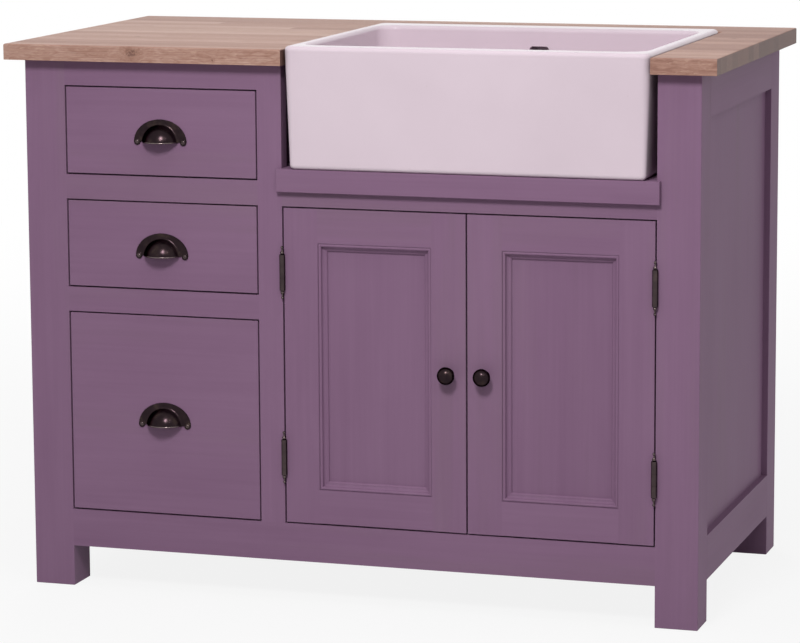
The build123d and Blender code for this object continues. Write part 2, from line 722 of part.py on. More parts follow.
def hinge_pin(hand, z):
    """The pin through the knuckles, with a turned finial on each end."""
    end = HINGE_HEIGHT / 2
    points = finial(end, 1) + finial(end, -1)[::-1]
    pin = turned(Polyline(*points, close=True))
    return Pos(HINGE_X[hand], HINGE_Y, z) * pin


def make_hinges():
    spots = [(hand, z) for hand in (0, 1) for z in HINGE_Z]
    save("hinge_frame_leaves", *[hinge_leaf(hand, z, on_door=False) for hand, z in spots])
    save("hinge_pins", *[hinge_pin(hand, z) for hand, z in spots])


# Doors


def moulding_section():
    """The section from the frame's edge towards the panel, the door's face at y = 0."""
    bead0 = MOULDING_QUIRK
    bead1 = bead0 + MOULDING_BEAD
    lip = MOULDING_WIDTH - MOULDING_LIP
    end = MOULDING_WIDTH
    lip_middle = end - MOULDING_LIP / 3
    deep = -DOOR_PANEL_SINK
    levels = (BEAD_LEVEL, QUIRK_LEVEL, LEDGE_LEVEL, COVE_LEVEL, LIP_LEVEL, TOE_LEVEL)
    bead, quirk, ledge, cove, nose, toe = [share * deep for share in levels]
    with BuildLine() as outline:
        Polyline((0, deep), (0, bead), (bead0, bead), (bead0, quirk))
        ThreePointArc((bead0, quirk), ((bead0 + bead1) / 2, bead / 2), (bead1, quirk))
        Line((bead1, quirk), (bead1, ledge))
        TangentArc((bead1, ledge), (lip, cove), tangent=(0, -1))
        ThreePointArc((lip, cove), (lip_middle, nose), (end, toe))
        Polyline((end, toe), (end, deep), (0, deep))
    return make_face(outline.line)


def moulding_bar(length):
    """One strip along X on z = 0, growing upwards, with both ends cut to the mitre."""
    plane = Plane(origin=(-length / 2, 0, 0), x_dir=(0, 0, 1), z_dir=(1, 0, 0))
    bar = extrude(plane * moulding_section(), length)
    half = length / 2
    w = MOULDING_WIDTH
    mitred = Polygon((-half, 0), (half, 0), (half - w, w), (w - half, w), align=None)
    return bar & facing_front(mitred, DOOR_PANEL_SINK, DOOR_PANEL_SINK)


def moulding_frame(x0, x1, z0, z1):
    """Four strips round an opening."""
    centre = Pos((x0 + x1) / 2, 0, (z0 + z1) / 2)
    sizes = (x1 - x0, z1 - z0)
    strips = []
    for quarter in range(4):
        length = sizes[quarter % 2]
        across = sizes[1 - quarter % 2]
        turn = Rot(0, 90 * quarter, 0)
        strips.append(centre * turn * Pos(0, 0, -across / 2) * moulding_bar(length))
    return strips


def door_frame(hand, x0, x1, z0, z1):
    """Two stiles grooved for the panel and two rails with stub tenons in that groove."""
    xa = x0 + DOOR_STILE
    xb = x1 - DOOR_STILE
    za = z0 + DOOR_RAIL
    zb = z1 - DOOR_RAIL
    slot = (DOOR_PANEL_SINK, DOOR_PANEL_SINK + DOOR_PANEL_THICKNESS)
    g = PANEL_GROOVE
    stile_grooves = block(xa - g, xb + g, *slot, z0, z1)
    panel_space = block(xa - g, xb + g, *slot, za - g, zb + g)

    stiles = []
    for edges, outer in (((x0, xa), 0), ((xb, x1), -1)):
        stile = block(*edges, 0, DOOR_THICKNESS, z0, z1)
        corner = stile.edges().filter_by(Axis.Z).group_by(Axis.Y)[0].sort_by(Axis.X)[outer]
        stile = chamfer(corner, ARRIS) - stile_grooves
        stiles.append(stile - hinge_housings(hand, on_door=True))

    rails = []
    for levels, outer in (((z0, za), 0), ((zb, z1), -1)):
        rail = block(xa, xb, 0, DOOR_THICKNESS, *levels)
        corner = rail.edges().filter_by(Axis.X).group_by(Axis.Y)[0].sort_by(Axis.Z)[outer]
        rail = chamfer(corner, ARRIS) + block(xa - g, xb + g, *slot, *levels)
        rails.append(rail - panel_space)
    return stiles, rails


def door_panel(x0, x1, z0, z1):
    """The flat panel for an opening, its edges in the grooves with a little play."""
    reach = PANEL_GROOVE - PANEL_PLAY
    y1 = DOOR_PANEL_SINK + DOOR_PANEL_THICKNESS
    return block(x0 - reach, x1 + reach, DOOR_PANEL_SINK, y1, z0 - reach, z1 + reach)


def catch_x(hand):
    return DOOR_MIDDLE + (-CATCH_FROM_MIDDLE, CATCH_FROM_MIDDLE)[hand]


def strike(hand, z_top):
    """The steel plate on a door's back that the catch holds."""
    x = catch_x(hand)
    half = STRIKE_WIDTH / 2
    y1 = DOOR_THICKNESS + STRIKE_THICKNESS
    return block(x - half, x + half, DOOR_THICKNESS, y1, z_top - STRIKE_HEIGHT, z_top)


def door_catch(hand):
    """A magnetic catch under the rail over the doors."""
    x = catch_x(hand)
    half = CATCH_WIDTH / 2
    y0 = DOOR_THICKNESS + STRIKE_THICKNESS + STRIKE_GAP
    body = block(x - half, x + half, y0, y0 + CATCH_DEPTH, DOOR_TOP - CATCH_HEIGHT, DOOR_TOP)
    return chamfer(front_edges(body).filter_by(Axis.Z), ARRIS)


def make_door(hand):
    name = ("left_door", "right_door")[hand]
    x0 = (DOOR_LEFT + REVEAL, DOOR_MIDDLE + REVEAL / 2)[hand]
    x1 = (DOOR_MIDDLE - REVEAL / 2, DOOR_RIGHT - REVEAL)[hand]
    z0 = FLOOR_LEVEL + REVEAL
    z1 = DOOR_TOP - REVEAL
    opening = (x0 + DOOR_STILE, x1 - DOOR_STILE, z0 + DOOR_RAIL, z1 - DOOR_RAIL)
    stiles, rails = door_frame(hand, x0, x1, z0, z1)

    knob_x = (x1 - DOOR_STILE / 2, x0 + DOOR_STILE / 2)[hand]
    knob_place = Pos(knob_x, 0, (z0 + z1) / 2) * Rot(90, 0, 0)
    hole = Cylinder(KNOB_SCREW_RADIUS + KNOB_HOLE_CLEARANCE, 2 * DOOR_THICKNESS)
    stiles = [stile - knob_place * hole for stile in stiles]

    save(f"{name}_stiles", *stiles)
    save(f"{name}_rails", *rails)
    save(f"{name}_panel", door_panel(*opening))
    save(f"{name}_moulding", *moulding_frame(*opening))
    save(f"{name}_knob", knob_place * knob(), knob_place * knob_screw())
    save(f"{name}_hinge_leaves", *[hinge_leaf(hand, z, on_door=True) for z in HINGE_Z])
    save(f"{name}_strike", strike(hand, z1))


def main():
    os.makedirs("parts", exist_ok=True)
    make_sides()
    make_face_frame()
    make_carcass()
    make_runners()
    make_sink()
    make_worktop()
    make_hinges()
    for number in range(len(DRAWER_NAMES)):
        make_drawer(number)
    for hand in (0, 1):
        make_door(hand)
    save("door_catches", door_catch(0), door_catch(1))


main()
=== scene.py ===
import json
import math

import bmesh
import bpy
from mathutils import Matrix, Vector


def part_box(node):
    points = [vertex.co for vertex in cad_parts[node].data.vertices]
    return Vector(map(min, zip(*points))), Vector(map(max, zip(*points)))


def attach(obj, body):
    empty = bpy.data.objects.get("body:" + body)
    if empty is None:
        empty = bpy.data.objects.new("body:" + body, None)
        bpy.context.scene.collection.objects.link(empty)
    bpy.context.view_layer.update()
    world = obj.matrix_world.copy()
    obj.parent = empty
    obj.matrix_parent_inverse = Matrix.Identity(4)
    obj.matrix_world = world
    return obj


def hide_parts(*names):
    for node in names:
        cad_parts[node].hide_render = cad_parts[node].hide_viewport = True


# A painted kitchen unit with an oak worktop and a glazed sink. Metres, +Z up,
# with the origin on the floor under the middle of the unit.

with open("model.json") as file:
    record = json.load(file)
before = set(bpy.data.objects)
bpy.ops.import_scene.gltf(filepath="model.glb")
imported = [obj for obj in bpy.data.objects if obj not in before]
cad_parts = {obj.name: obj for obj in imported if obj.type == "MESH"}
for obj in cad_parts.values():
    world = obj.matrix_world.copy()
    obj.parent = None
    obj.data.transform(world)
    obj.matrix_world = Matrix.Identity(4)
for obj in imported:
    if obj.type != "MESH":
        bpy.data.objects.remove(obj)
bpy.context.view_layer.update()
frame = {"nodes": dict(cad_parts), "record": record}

MM = 0.001
FORWARD = Vector((0, -1, 0))
BACKWARD = Vector((0, 1, 0))
DOWNWARD = Vector((0, 0, -1))

# The photograph's width in pixels
PICTURE_WIDTH = 800

# The camera: where it stands, its turns in radians, how far it sees, its focal length in
# pixels, the shift of the picture in widths of itself, and its sensor's width in millimetres
CAMERA_PLACE = Vector((1.6747, -5.2768, 1.3450))
CAMERA_HEADING = 0.3100
CAMERA_DOWN = 0.1536
CAMERA_ROLL = -0.0057
CAMERA_SIGHT = 100.0
FOCAL_PIXELS = 3343.3
FRAMING_SHIFT = -0.05
SENSOR_WIDTH = 36.0

# The world's light on surfaces, and the point that every lamp faces
WORLD_LIGHT = 0.33
LIT_POINT = Vector((0, -0.3, 0.5))

# Each lamp's name, place, side and level, and whether glossy surfaces mirror it
LAMPS = (
    ("key", (0.27, -2.60, 2.55), 0.62, 0.645, True),
    ("overhead", (0.25, -0.70, 3.20), 1.60, 0.22, False),
    ("glint", (1.9, -2.6, 3.0), 0.35, 0.05, True),
    ("back_fill", (-1.6, 3.6, 2.2), 2.2, 0.34, False),
    ("side_fill", (3.6, 0.2, 1.7), 1.6, 0.08, False),
)

# The floor: its half width, how far it lies under the unit, its share of plain white near
# the unit, and the distances between which that share rises to the whole
FLOOR_REACH = 30.0
FLOOR_DROP = 0.0005
FLOOR_LIFT = 0.87
FLOOR_FADE = (0.9, 4.5)

# The worktop's staves, and their growth rings' pitch, pith level and pith's spread down and aside
STAVE_WIDTH = 0.0405
STAVE_LENGTH = 0.78
STAVE_RING = 0.0034
PITH_LEVEL = 0.86
PITH_DOWN = 0.10
PITH_ASIDE = 0.09

# How far apart in the grain two staves may be taken, and what keeps their numbers above zero
GRAIN_SHIFT = 7.0
FAR_OFF = 10.0

# Numbers that keep a stave's random draws apart
START_DRAW = 3.0
TONE_DRAW = 7.0
TURN_DRAW = 19.0

# Where the staves grow darker to the right, and darker still just behind the front stave
RIGHT_PART = (0.25, 0.40)
BEHIND_FRONT = (-0.275, -0.265)

# Knots in the worktop: where each lies and its radius
KNOTS = (
    ((-0.3673, -0.3092, 0.8890), 0.0105),
    ((-0.2280, -0.3092, 0.8800), 0.0022),
    ((-0.4300, -0.1250, 0.9000), 0.0045),
    ((0.5350, 0.0750, 0.9000), 0.0060),
)

# In radii of a knot: how ragged it is, and where its bent grain and its heart fade out
KNOT_RAG = 1.8
KNOT_AROUND = (0.3, 2.6)
KNOT_HEART = (0.35, 1.05)

# How far a knot bends the grain beside it
KNOT_BEND = 0.009

# Softwood: where the pith lies across the grain, and the rings' pitch
PINE_PITH = (0.9, -0.6)
PINE_RING = 0.0046

# How far growth rings waver, and the thickness of a veneer
RING_SWAY = 0.034
VENEER = 0.0012

# The mesh attribute for rubbing and painted highlight, and how much of both each thing gets, from 0 to 1;
# on the screws, finials and lip the bright rubbing is partly painted highlight
WEAR_AND_HIGHLIGHT = "wear_and_highlight"
SCREW_WEAR_AND_HIGHLIGHT = 0.25
FINIAL_WEAR_AND_HIGHLIGHT = 0.30
LIP_WEAR_AND_HIGHLIGHT = 0.55
HINGE_WEAR = 0.15

# Edges sharper than this aren't smoothed, and points nearer than this are welded
SHARP_ANGLE = math.radians(38)
WELD_DISTANCE = 1e-6

# How finely corners are told apart when a node's solids are separated
SPOTS_PER_METRE = 1e5

# From here down to the colours, sizes are in millimetres and turns in radians

# Knobs: radius and level from the door's face
KNOB_RADIUS = 14.25
KNOB_REACH = 28.0
KNOB_RIM_LEVEL = 16.8
KNOB_FOOT = ((0, 0), (9.0, 0), (9.0, 0.9), (8.6, 1.5), (7.6, 1.8))
KNOB_NECK = ((6.5, 2.1), (5.5, 4.6), (5.8, 7.8), (8.4, 11.0), (12.0, 13.2), (13.8, 15.0))
KNOB_SCREW_RADIUS = 4.4
KNOB_SCREW_RISE = KNOB_SCREW_RADIUS * 0.45
KNOB_SCREW_TURN = 0.5
KNOB_FACETS = 56
DOME_STEPS = 16

# Hinge pins: radius and level from the end of the barrel, with arcs in degrees
PIN_RADIUS = 2.5
BARREL_LENGTH = 58.0
FINIAL_HEIGHT = 14.0
COLLAR_RADIUS = 3.1
COLLAR_LEVEL = 2.9
COLLAR_ARC = (-65, 58)
FINIAL_NECK = ((1.5, 6.0), (1.15, 7.2), (1.3, 8.3), (1.1, 9.2))
TIP_RADIUS = 2.3
TIP_ARC = (-62, 90)
# Past this level from the barrel's end a finial is bright from rubbing, partly as a painted highlight
WORN_AND_HIGHLIT_BEYOND = 1.0
PIN_FACETS = 32

# Cup pulls, from the middle of the line between the two screws: X across, Y up, Z out
PULL_HALF = 45.25
PULL_RISE = 36.5
PULL_PLATE = 2.0
PULL_EDGE = 0.7
PULL_CUTS = 56
EDGE_BULGE = 0.2
EDGE_STEPS = 3
EAR_RADIUS = 5.5
EAR_THICKNESS = 2.2
EAR_FACETS = 36
EAR_SCREW_RADIUS = 3.1
EAR_SCREW_RISE = EAR_SCREW_RADIUS * 0.4
EAR_SCREW_TURNS = (0.4, -0.7)
HOOD_RADIUS = 35.0
HOOD_DROP = 5.0
HOOD_BACK = 9.64
HOOD_NARROWING = 0.94
HOOD_WALL = 1.8
HOOD_FILLET = 2.2
HOOD_STEPS = 18
LIP_RADIUS = 1.15
LIP_STEPS = 20
LIP_FACETS = 12

# Screw heads: the slot's width in radii of the head, its floor's share of the rise, and
# its turn from one screw to the next
SLOT_SHARE = 0.2
SLOT_FLOOR = 0.3
SLOT_TURN = 2.4
SCREW_FACETS = 28

# Screws in the hinges' leaves, the last value from the hinge's axis to a leaf's face
HINGE_SCREW_RADIUS = 3.3
HINGE_SCREW_PITCH = 20.0
HINGE_SCREW_INSET = 8.5
FLUSH_RISE = 0.1
LEAF_FACE = 0.15

# Screws in the brackets, the strike plates and the drawers' stops
SMALL_SCREW_RADIUS = 3.4
SMALL_SCREW_RISE = SMALL_SCREW_RADIUS * 0.4
BRACKET_THICKNESS = 2
BRACKET_SCREW_OUT = 19
BRACKET_SCREW_UP = 10
STRIKE_SCREW_RADIUS = 2.6
STRIKE_SCREW_SHARES = (0.18, 0.82)
STRIKE_SCREW_TURN = 3
STOP_SCREW_RISE = 1.2
STOP_SCREW_TURN = 1.1

SIDES = ("left", "right")
DRAWERS = ("top_drawer", "middle_drawer", "bottom_drawer")


def srgb(red, green, blue):
    """A colour given in the 0 to 255 of a picture, as the linear values that a shader takes."""
    def linear(value):
        part = value / 255
        return part / 12.92 if part <= 0.04045 else ((part + 0.055) / 1.055) ** 2.4
    return (linear(red), linear(green), linear(blue), 1.0)


PAINT_DARK = srgb(122, 92, 118)
PAINT_MIDDLE = srgb(129, 99, 125)
PAINT_LIGHT = srgb(135, 105, 131)
PAINT_DUST = srgb(122, 100, 114)

OAK_DARK = srgb(134, 96, 84)
OAK_MIDDLE = srgb(160, 123, 109)
OAK_LIGHT = srgb(188, 156, 143)
OAK_LATE_WOOD = srgb(132, 93, 76)
OAK_FLECK = srgb(196, 164, 146)
OAK_PORE = srgb(104, 70, 56)
OAK_KNOT = srgb(128, 88, 72)
OAK_KNOT_HEART = srgb(94, 64, 56)
OAK_END = srgb(90, 62, 56)

PINE_DARK = srgb(196, 163, 120)
PINE_MIDDLE = srgb(210, 180, 138)
PINE_LIGHT = srgb(220, 193, 154)
PINE_LATE_WOOD = srgb(172, 129, 82)

BIRCH_DARK = srgb(201, 174, 134)
BIRCH_MIDDLE = srgb(214, 190, 152)
BIRCH_LIGHT = srgb(224, 203, 168)
BIRCH_TURNED = srgb(160, 120, 80)

GLAZE_DARK = srgb(206, 189, 199)
GLAZE_LIGHT = srgb(212, 195, 205)
GLAZE_SPECK = srgb(150, 132, 128)

BRONZE_DARK = srgb(38, 29, 33)
BRONZE_LIGHT = srgb(47, 37, 39)
BRONZE_BLOOM = srgb(74, 62, 54)
# The bright colour of rubbing, which on the screws, finials and lip also paints their highlights
BRONZE_RUBBED_AND_HIGHLIGHT = srgb(154, 138, 137)
BRONZE_GLANCE = (0.06, 0.05, 0.05, 1.0)

STEEL_DARK = srgb(168, 170, 172)
STEEL_LIGHT = srgb(206, 207, 208)

PLASTIC_DARK = srgb(226, 221, 208)
PLASTIC_LIGHT = srgb(234, 230, 219)

FLOOR_DARK = srgb(203, 203, 203)
FLOOR_LIGHT = srgb(207, 207, 207)
WHITE = (1, 1, 1, 1)


class Nodes:
    """Builds the node tree of one material. Its calls take numbers and sockets alike."""

    def __init__(self, name):
        self.material = bpy.data.materials.new(name)
        self.material.use_nodes = True
        self.tree = self.material.node_tree
        self.shader = self.tree.nodes["Principled BSDF"]
        coordinates = self.new("ShaderNodeTexCoord")
        self.place = coordinates.outputs["Object"]
        self.outward = coordinates.outputs["Normal"]

    def new(self, kind):
        return self.tree.nodes.new(kind)

    def feed(self, socket, value):
        if isinstance(value, bpy.types.NodeSocket):
            self.tree.links.new(value, socket)
        else:
            socket.default_value = value

    def set(self, **values):
        """Sets the shader's own sockets, each named with _ in place of a space."""
        for name, value in values.items():
            self.feed(self.shader.inputs[name.replace("_", " ")], value)

    def math(self, kind, *values):
        node = self.new("ShaderNodeMath")
        node.operation = kind
        for socket, value in zip(node.inputs, values):
            self.feed(socket, value)
        return node.outputs[0]

    def add(self, a, b):
        return self.math("ADD", a, b)

    def minus(self, a, b):
        return self.math("SUBTRACT", a, b)

    def times(self, a, b):
        return self.math("MULTIPLY", a, b)

    def weighted(self, *terms):
        """The sum of the terms, each a value and its weight."""
        parts = [self.times(value, weight) for value, weight in terms]
        total = parts.pop()
        while parts:
            total = self.add(parts.pop(), total)
        return total

    def step(self, value, low, high):
        """0 below low, 1 above high and a smooth rise between them."""
        node = self.new("ShaderNodeMapRange")
        node.interpolation_type = "SMOOTHSTEP"
        self.feed(node.inputs["Value"], value)
        self.feed(node.inputs["From Min"], low)
        self.feed(node.inputs["From Max"], high)
        return node.outputs["Result"]

    def axes(self, place=None):
        """The X, Y and Z of a place, or of the point that is shaded."""
        node = self.new("ShaderNodeSeparateXYZ")
        self.feed(node.inputs[0], place or self.place)
        return node.outputs

    def point(self, x, y, z):
        node = self.new("ShaderNodeCombineXYZ")
        for socket, value in zip(node.inputs, (x, y, z)):
            self.feed(socket, value)
        return node.outputs[0]

    def noise(self, place, scale, detail, roughness=0.5, distortion=0.0):
        node = self.new("ShaderNodeTexNoise")
        self.feed(node.inputs["Vector"], place)
        node.inputs["Scale"].default_value = scale
        node.inputs["Detail"].default_value = detail
        node.inputs["Roughness"].default_value = roughness
        node.inputs["Distortion"].default_value = distortion
        return node.outputs["Fac"]

    def streaks(self, place, along, across, detail, roughness=0.5, distortion=0.0):
        """Noise with one scale along the place's X and another across it."""
        node = self.new("ShaderNodeVectorMath")
        node.operation = "MULTIPLY"
        self.feed(node.inputs[0], place)
        node.inputs[1].default_value = (along, across, across)
        return self.noise(node.outputs[0], 1.0, detail, roughness, distortion)

    def chance(self, *values):
        """A steady random number from 0 to 1 for each set of whole numbers."""
        node = self.new("ShaderNodeTexWhiteNoise")
        node.noise_dimensions = "3D"
        self.feed(node.inputs["Vector"], self.point(*(list(values) + [0.0, 0.0])[:3]))
        return node.outputs["Value"]

    def mix(self, amount, a, b):
        node = self.new("ShaderNodeMix")
        node.data_type = "RGBA"
        self.feed(node.inputs["Factor"], amount)
        self.feed(node.inputs["A"], a)
        self.feed(node.inputs["B"], b)
        return node.outputs["Result"]

    def ramp(self, value, *stops):
        """A colour that runs through the stops, each a place from 0 to 1 and a colour."""
        node = self.new("ShaderNodeValToRGB")
        marks = node.color_ramp.elements
        while len(marks) < len(stops):
            marks.new(0.5)
        for mark, (place, colour) in zip(marks, stops):
            mark.position = place
            mark.color = colour
        self.feed(node.inputs["Fac"], value)
        return node.outputs["Color"]

    def bump(self, height, distance, strength):
        node = self.new("ShaderNodeBump")
        node.inputs["Strength"].default_value = strength
        node.inputs["Distance"].default_value = distance
        self.feed(node.inputs["Height"], height)
        self.feed(self.shader.inputs["Normal"], node.outputs["Normal"])

    def along(self, axis):
        """The place turned so that its X runs along the grain."""
        if axis == "X":
            return self.place
        x, y, z = self.axes()
        return self.point(y, z, x) if axis == "Y" else self.point(z, x, y)


def paint(axis):
    """Satin paint, brushed along the grain, on a ground that still shows through a little."""
    n = Nodes("paint_" + axis)
    grain = n.along(axis)
    cloud = n.streaks(grain, 1.6, 5.5, detail=3.0, roughness=0.55)
    brush = n.streaks(grain, 3.0, 190.0, detail=4.0, roughness=0.6)
    ground = n.streaks(grain, 2.2, 34.0, detail=5.0, roughness=0.62, distortion=0.6)
    dust = n.step(n.streaks(grain, 1.1, 13.0, detail=3.0, roughness=0.6), 0.50, 0.72)
    tone = n.weighted((cloud, 0.5), (brush, 0.22), (ground, 0.28))
    colour = n.ramp(tone, (0.30, PAINT_DARK), (0.50, PAINT_MIDDLE), (0.70, PAINT_LIGHT))
    colour = n.mix(n.times(dust, 0.30), colour, PAINT_DUST)
    n.set(Base_Color=colour, Roughness=n.add(0.44, n.times(ground, 0.14)), Specular_IOR_Level=0.06)
    n.bump(n.weighted((brush, 0.55), (ground, 0.45)), distance=0.00035, strength=0.35)
    return n.material


def growth_rings(n, grain, across_y, across_z, pitch):
    """Rings round a pith at across_y, across_z, wavering slowly along the grain. From 0 to 1."""
    _, y, z = n.axes(grain)
    sway = n.streaks(grain, 2.4, 16.0, detail=3.0)
    dy = n.minus(y, across_y)
    dz = n.minus(z, across_z)
    radius = n.math("SQRT", n.add(n.times(dy, dy), n.times(dz, dz)))
    radius = n.add(radius, n.times(sway, RING_SWAY))
    return n.math("FRACT", n.math("DIVIDE", radius, pitch))


def staves(n):
    """The Y of a stave's middle, and two random numbers of its own, from 0 to 1."""
    x, y, _ = n.axes()
    row = n.math("FLOOR", n.math("DIVIDE", n.add(y, FAR_OFF), STAVE_WIDTH))
    start = n.times(n.chance(row, START_DRAW), STAVE_LENGTH)
    piece = n.math("FLOOR", n.math("DIVIDE", n.add(n.add(x, FAR_OFF), start), STAVE_LENGTH))
    middle = n.minus(n.times(n.add(row, 0.5), STAVE_WIDTH), FAR_OFF)
    return middle, n.chance(row, piece, TONE_DRAW), n.chance(row, piece, TURN_DRAW)


def right_shade(n):
    """How much darker the staves are at the right, above all behind the front stave."""
    x, y, _ = n.axes()
    right = n.step(x, *RIGHT_PART)
    behind = n.step(y, *BEHIND_FRONT)
    return n.times(right, n.add(0.10, n.times(behind, 0.42)))


def knot_field(n):
    """How near the place is to a knot: 0 far off, 1 on it, and the same for its heart alone."""
    ragged = n.minus(n.noise(n.place, 160.0, detail=3.0, roughness=0.6), 0.5)
    around, heart = 0.0, 0.0
    for place, radius in KNOTS:
        node = n.new("ShaderNodeVectorMath")
        node.operation = "DISTANCE"
        n.feed(node.inputs[0], n.place)
        node.inputs[1].default_value = place
        away = n.add(node.outputs["Value"], n.times(ragged, radius * KNOT_RAG))
        fade = n.step(away, *[radius * share for share in KNOT_AROUND])
        around = n.add(around, n.minus(1.0, fade))
        fade = n.step(away, *[radius * share for share in KNOT_HEART])
        heart = n.add(heart, n.minus(1.0, fade))
    return around, heart


def oak():
    """Oak staves glued side by side, each with its own tone, rings and pores, oiled to a low sheen."""
    n = Nodes("oak_staves")
    middle, tone, turn = staves(n)
    around, heart = knot_field(n)
    x, y, z = n.axes()
    bend = n.times(around, KNOT_BEND)
    grain = n.point(n.add(x, n.times(tone, GRAIN_SHIFT)), n.add(y, bend), n.add(z, bend))
    pith_y = n.add(middle, n.times(n.minus(turn, 0.5), PITH_ASIDE))
    pith_z = n.minus(PITH_LEVEL, n.times(tone, PITH_DOWN))
    ring = growth_rings(n, grain, pith_y, pith_z, STAVE_RING)
    late = n.step(ring, 0.30, 0.95)
    fibre = n.streaks(grain, 9.0, 420.0, detail=4.0, roughness=0.6)
    cloud = n.streaks(grain, 1.6, 14.0, detail=3.0)
    figure = n.streaks(grain, 34.0, 150.0, detail=4.0, roughness=0.62, distortion=1.4)
    fleck = n.step(n.streaks(grain, 60.0, 330.0, detail=3.0, roughness=0.6, distortion=0.8), 0.57, 0.74)
    pore = n.step(n.streaks(grain, 38.0, 950.0, detail=2.0), 0.60, 0.74)
    crumbled = n.times(heart, n.step(n.noise(n.place, 310.0, detail=3.0, roughness=0.6), 0.36, 0.52))

    # 1 on the worktop's ends, where the grain is cut across, and 1 everywhere but on its top
    across, _, up = n.axes(n.outward)
    end = n.step(n.math("ABSOLUTE", across), 0.6, 0.9)
    off_top = n.minus(1.0, n.step(up, 0.4, 0.8))

    tone = n.minus(tone, right_shade(n))
    body = n.weighted((tone, 0.40), (cloud, 0.30), (fibre, 0.30))
    body = n.add(body, n.times(n.minus(figure, 0.5), n.add(0.35, n.times(off_top, 0.65))))
    colour = n.ramp(body, (0.15, OAK_DARK), (0.45, OAK_MIDDLE), (0.85, OAK_LIGHT))
    colour = n.mix(n.times(late, 0.24), colour, OAK_LATE_WOOD)
    colour = n.mix(n.times(fleck, n.add(0.22, n.times(off_top, 0.28))), colour, OAK_FLECK)
    colour = n.mix(n.times(pore, 0.34), colour, OAK_PORE)
    colour = n.mix(n.times(around, 0.34), colour, OAK_KNOT)
    colour = n.mix(n.times(crumbled, 0.72), colour, OAK_KNOT_HEART)
    end_depth = n.add(0.42, n.weighted((turn, 0.40), (ring, 0.26)))
    colour = n.mix(n.times(end, end_depth), colour, OAK_END)
    n.set(Base_Color=colour, Roughness=n.add(0.40, n.times(fibre, 0.16)), Specular_IOR_Level=0.28)
    height = n.minus(n.times(fibre, 0.5), n.weighted((pore, 0.6), (late, 0.15)))
    n.bump(height, distance=0.0004, strength=0.5)
    return n.material


def timber(axis):
    """Planed pale softwood, sealed, with its rings drawn out along the grain."""
    n = Nodes("timber_" + axis)
    grain = n.along(axis)
    late = n.step(growth_rings(n, grain, *PINE_PITH, PINE_RING), 0.55, 1.0)
    fibre = n.streaks(grain, 5.0, 360.0, detail=4.0, roughness=0.6)
    cloud = n.noise(grain, 2.5, detail=3.0)
    body = n.weighted((cloud, 0.6), (fibre, 0.4))
    colour = n.ramp(body, (0.25, PINE_DARK), (0.55, PINE_MIDDLE), (0.80, PINE_LIGHT))
    colour = n.mix(n.times(late, 0.34), colour, PINE_LATE_WOOD)
    n.set(Base_Color=colour, Roughness=n.add(0.46, n.times(fibre, 0.14)), Specular_IOR_Level=0.35)
    n.bump(n.minus(fibre, n.times(late, 0.4)), distance=0.0003, strength=0.4)
    return n.material


def plywood():
    """Birch plywood, whose veneers lie crosswise in turn and so differ in tone."""
    n = Nodes("plywood")
    _, _, z = n.axes()
    sheet = n.math("FLOOR", n.math("DIVIDE", z, VENEER))
    turned = n.math("MODULO", sheet, 2.0)
    fibre = n.streaks(n.place, 4.0, 260.0, detail=4.0, roughness=0.6)
    flame = n.streaks(n.place, 1.8, 12.0, detail=4.0, roughness=0.6, distortion=1.4)
    body = n.weighted((fibre, 0.35), (flame, 0.65))
    colour = n.ramp(body, (0.30, BIRCH_DARK), (0.52, BIRCH_MIDDLE), (0.75, BIRCH_LIGHT))
    colour = n.mix(n.times(turned, 0.22), colour, BIRCH_TURNED)
    n.set(Base_Color=colour, Roughness=n.add(0.44, n.times(fibre, 0.12)), Specular_IOR_Level=0.4)
    n.bump(fibre, distance=0.0002, strength=0.35)
    return n.material


def fireclay():
    """Thick white glaze, faintly uneven in tone and surface, with a few darker specks."""
    n = Nodes("fireclay")
    cloud = n.noise(n.place, 4.5, detail=3.0)
    wave = n.noise(n.place, 26.0, detail=2.0, roughness=0.45)
    speck = n.step(n.noise(n.place, 420.0, detail=1.0), 0.79, 0.82)
    colour = n.ramp(cloud, (0.30, GLAZE_DARK), (0.70, GLAZE_LIGHT))
    colour = n.mix(n.times(speck, 0.35), colour, GLAZE_SPECK)
    n.set(Base_Color=colour, Roughness=n.add(0.09, n.times(wave, 0.05)), Specular_IOR_Level=0.24)
    n.bump(wave, distance=0.0008, strength=0.12)
    return n.material


def bronze(name="dark_bronze", least_wear=0.0):
    """Bronze darkened almost to black, with a browner bloom, and bright from rubbing where the attribute
    says so: on the screws, finials and lip this is partly a painted highlight.
    """
    n = Nodes(name)
    patch = n.noise(n.place, 70.0, detail=4.0, roughness=0.6)
    fine = n.noise(n.place, 900.0, detail=2.0)
    bloom = n.step(patch, 0.52, 0.74)
    # The attribute's bright rubbing, which on the screws, finials and lip paints a highlight as well
    wear_and_highlight = n.new("ShaderNodeAttribute")
    wear_and_highlight.attribute_name = WEAR_AND_HIGHLIGHT
    worn_and_highlit = n.math("MAXIMUM", wear_and_highlight.outputs["Fac"], least_wear)
    rubbed_and_highlit = n.times(worn_and_highlit, n.add(0.45, n.times(patch, 0.7)))
    colour = n.ramp(patch, (0.30, BRONZE_DARK), (0.65, BRONZE_LIGHT))
    colour = n.mix(n.times(bloom, 0.40), colour, BRONZE_BLOOM)
    colour = n.mix(rubbed_and_highlit, colour, BRONZE_RUBBED_AND_HIGHLIGHT)
    n.set(Base_Color=colour, Roughness=n.add(0.17, n.times(patch, 0.13)))
    n.set(Metallic=1.0, Specular_Tint=BRONZE_GLANCE)
    n.bump(n.weighted((patch, 0.4), (fine, 0.3)), distance=0.0003, strength=0.22)
    return n.material


def rubbed_bronze():
    """The same bronze on the hinges' leaves, a little brighter all over."""
    return bronze("rubbed_bronze", HINGE_WEAR)


